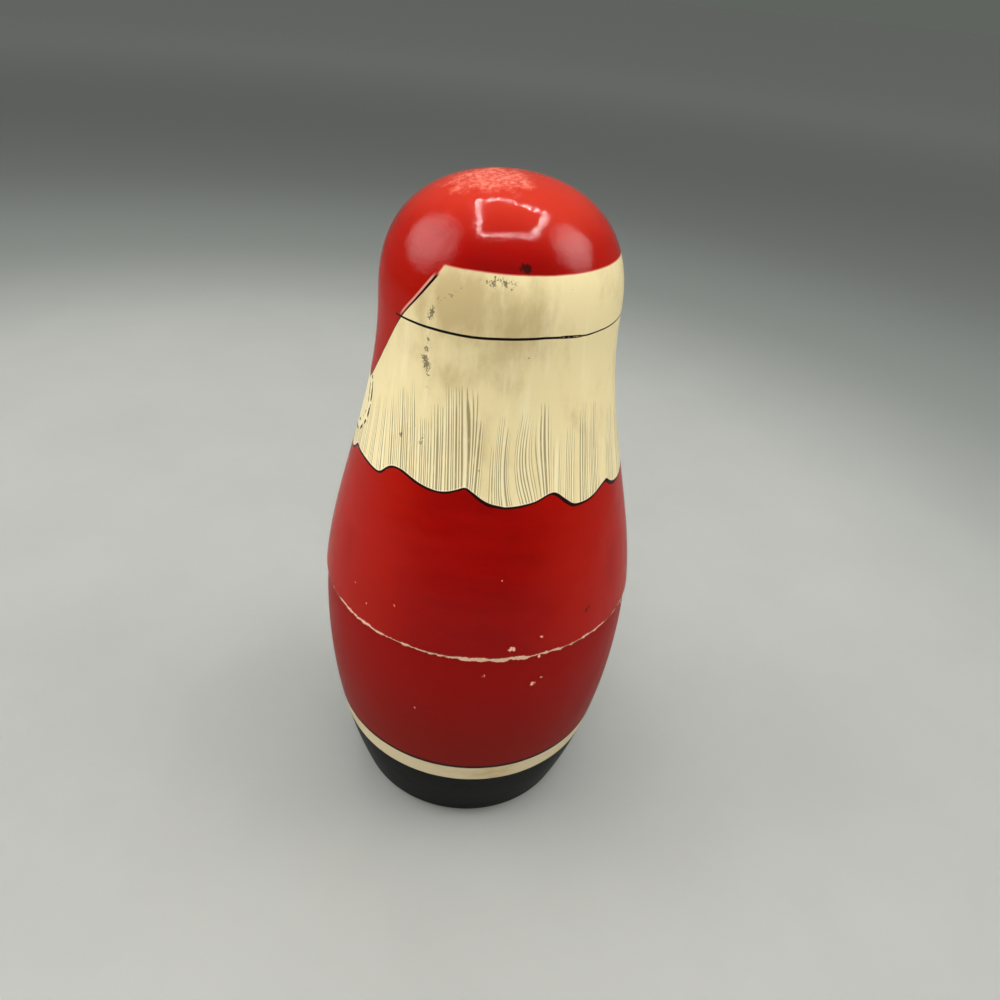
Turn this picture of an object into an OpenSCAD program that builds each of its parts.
// Nesting doll in turned wood: four hollow dolls, each in two halves that push together,
// and a solid doll at the core. Every doll stands on the floor inside the one around it.
// Origin at the centre of the outer doll's foot, +Z up, millimetres.

/* [Outer doll] */
// Height of the closed outer doll
doll_h = 178; // [170:1:200]
// Radius of the foot that the doll stands on
base_r = 33; // [30:0.5:36]
// Outward slope of the side as it leaves the foot, radius per height
base_flare = 0.34; // [0.2:0.02:0.5]
// Height of the widest part of the belly
belly_z = 64; // [58:1:70]
// Radius of the widest part of the belly
belly_r = 43.5; // [42:0.5:47]
// Height where the side of the head turns into the crown
head_z = 149.5; // [140:0.5:156]
// Radius of the head
head_r = 28.5; // [26:0.5:32]
// Squareness of the crown along its height, 2 for an ellipse
crown_rise = 2.6; // [2:0.1:3]
// Squareness of the crown across its width, 2 for an ellipse
crown_spread = 2.2; // [2:0.1:3]
// Height of the seam between the two halves
seam_z = 74; // [72:1:80]
// How far the rim of the top half stands proud of the bottom half
seam_ledge = 0.7; // [0:0.1:1]

/* [Walls] */
// Thickness of the wall at the belly, the same on every doll
wall = 5.5; // [5:0.1:6.5]
// Thickness of the floor inside the foot
floor_t = 11; // [8:0.5:14]
// Thickness of wood above the hollow of the head
crown_t = 10; // [8:0.5:14]

/* [Push fit] */
// Height of the outer doll's tongue above its seam
tongue_h = 8; // [6:0.5:9]
// Thickness of the tongue on the bottom half
tongue_t = 1.8; // [1.5:0.1:2.2]
// Radial clearance between tongue and socket
fit_gap = 0.15; // [0.1:0.05:0.3]
// Clearance above the tongue, so that the seam closes first
end_gap = 0.5; // [0.3:0.1:1]
// Bevel that leads the tongue into the socket
lead = 0.5; // [0.3:0.1:0.8]

/* [Edges] */
// Bevel along the outer edges of the seam
rim_edge = 0.4; // [0.2:0.1:0.8]
// Bevel around the foot
foot_edge = 0.8; // [0.4:0.1:1.5]

/* [Nesting] */
// Radial room between a doll's belly and the hollow it stands in
side_gap = 1.5; // [1.2:0.1:2.5]
// Room above a doll's crown inside the next one
head_gap = 8; // [5:0.5:10]

/* [Hidden] */
NODES = [
    "outer_top_half", "outer_bottom_half",
    "second_top_half", "second_bottom_half",
    "third_top_half", "third_bottom_half",
    "fourth_top_half", "fourth_bottom_half",
    "core_doll"
];

// Index of the solid doll; the hollow ones are numbered from 0 outside
core = (len(NODES) - 1) / 2;
// Bands along a side and around a crown
side_steps = 18;
crown_steps = 16;
lacquer = "firebrick";
$fn = 96;

// Sizes of doll number k, each worked out from the hollow of the doll around it
function doll_height(k) = k == 0 ? doll_h : hollow_height(k - 1) - head_gap;
function doll_radius(k) = k == 0 ? belly_r : hollow_radius(k - 1) - side_gap;
function hollow_height(k) = doll_height(k) - floor_t - crown_t;
function hollow_radius(k) = doll_radius(k) - wall;
function stand_z(k) = k * floor_t;
function rise(k) = doll_height(k) / doll_h;
function spread(k) = doll_radius(k) / belly_r;
function hollow_rise(k) = hollow_height(k) / doll_h;
function hollow_spread(k) = hollow_radius(k) / belly_r;

// Heights and radii of the push fit of doll number k
function seam_height(k) = seam_z * rise(k);
function tongue_top(k) = seam_height(k) + tongue_h * rise(k);
function tongue_radius(k) = hollow_radius(k) + tongue_t;
function socket_radius(k) = tongue_radius(k) + fit_gap;
function socket_top(k) = tongue_top(k) + end_gap;

// Cubic from radius r0 with slope m0 to radius r1 with no slope, over a height of span
function swell(t, r0, m0, r1, span) =
    r0 * (2 * t ^ 3 - 3 * t ^ 2 + 1) + m0 * span * (t ^ 3 - 2 * t ^ 2 + t) + r1 * (3 * t ^ 2 - 2 * t ^ 3);

// Radius of the outer doll's side at height z, below the crown
function side_r(z) = z < belly_z
    ? swell(z / belly_z, base_r, base_flare, belly_r, belly_z)
    : swell((z - belly_z) / (head_z - belly_z), belly_r, 0, head_r, head_z - belly_z);

// Outline points of the side between two heights, and of the crown from the head's side to its top
function side_points(z0, z1) = [
    for (i = [0:side_steps]) let (z = z0 + (z1 - z0) * i / side_steps) [side_r(z), z]
];
function crown_points() = [
    for (i = [1:crown_steps]) let (a = 90 * i / crown_steps)
        [head_r * cos(a) ^ (2 / crown_spread), head_z + (doll_h - head_z) * sin(a) ^ (2 / crown_rise)]
];

function scaled(points, across, along, z0 = 0) = [for (p = points) [p.x * across, p.y * along + z0]];
function reversed(points) = [for (i = [len(points) - 1:-1:0]) points[i]];

// The bottom half shrinks in smoothly towards the seam, by seam_ledge there
function shrunk(points) = [for (p = points) [p.x - seam_ledge * (p.y / seam_z) ^ 2, p.y]];

// Outside of the bottom half from the middle of the foot up to the given height
function foot_outline(z1) = concat(
    [[0, 0], [side_r(0) - foot_edge, 0]],
    side_points(foot_edge, z1)
);

// Hollow of doll number k, at heights on its own outline
function hollow_points(k, points) = scaled(points, hollow_spread(k), hollow_rise(k), floor_t);
function hollow_z(k, z) = (z - floor_t) / hollow_rise(k);

// Upper half of a hollow doll, open below, with the socket in its rim
module top_half(k) {
    seam = seam_height(k);
    rim_r = side_r(seam_z) * spread(k);
    rim_side = scaled(side_points(seam_z + rim_edge / rise(k), head_z), spread(k), rise(k));
    crown = scaled(crown_points(), spread(k), rise(k));
    hollow = hollow_points(k, concat(side_points(hollow_z(k, socket_top(k)), head_z), crown_points()));
    socket = [
        [socket_radius(k), socket_top(k)],
        [socket_radius(k), seam + lead],
        [socket_radius(k) + lead, seam]
    ];
    rotate_extrude()
        polygon(concat([[rim_r - rim_edge, seam]], rim_side, crown, reversed(hollow), socket));
}

// Lower half of a hollow doll, with the tongue standing on its rim
module bottom_half(k) {
    seam = seam_height(k);
    rim_r = (side_r(seam_z) - seam_ledge) * spread(k);
    outside = scaled(shrunk(foot_outline(seam_z - rim_edge / rise(k))), spread(k), rise(k));
    tongue = [
        [tongue_radius(k), seam],
        [tongue_radius(k), tongue_top(k) - lead],
        [tongue_radius(k) - lead, tongue_top(k)],
        [hollow_radius(k), tongue_top(k)]
    ];
    hollow = hollow_points(k, side_points(0, belly_z));
    rotate_extrude()
        polygon(concat(outside, [[rim_r - rim_edge, seam]], tongue, reversed(hollow), [[0, floor_t]]));
}

// Smallest doll, turned from one piece
module solid_doll(k) {
    rotate_extrude()
        polygon(scaled(concat(foot_outline(head_z), crown_points()), spread(k), rise(k)));
}

module outer_top_half() { color(lacquer) translate([0, 0, stand_z(0)]) top_half(0); }
module outer_bottom_half() { color(lacquer) translate([0, 0, stand_z(0)]) bottom_half(0); }
module second_top_half() { color(lacquer) translate([0, 0, stand_z(1)]) top_half(1); }
module second_bottom_half() { color(lacquer) translate([0, 0, stand_z(1)]) bottom_half(1); }
module third_top_half() { color(lacquer) translate([0, 0, stand_z(2)]) top_half(2); }
module third_bottom_half() { color(lacquer) translate([0, 0, stand_z(2)]) bottom_half(2); }
module fourth_top_half() { color(lacquer) translate([0, 0, stand_z(3)]) top_half(3); }
module fourth_bottom_half() { color(lacquer) translate([0, 0, stand_z(3)]) bottom_half(3); }
module core_doll() { color(lacquer) translate([0, 0, stand_z(core)]) solid_doll(core); }

outer_top_half();
outer_bottom_half();
second_top_half();
second_bottom_half();
third_top_half();
third_bottom_half();
fourth_top_half();
fourth_bottom_half();
core_doll();
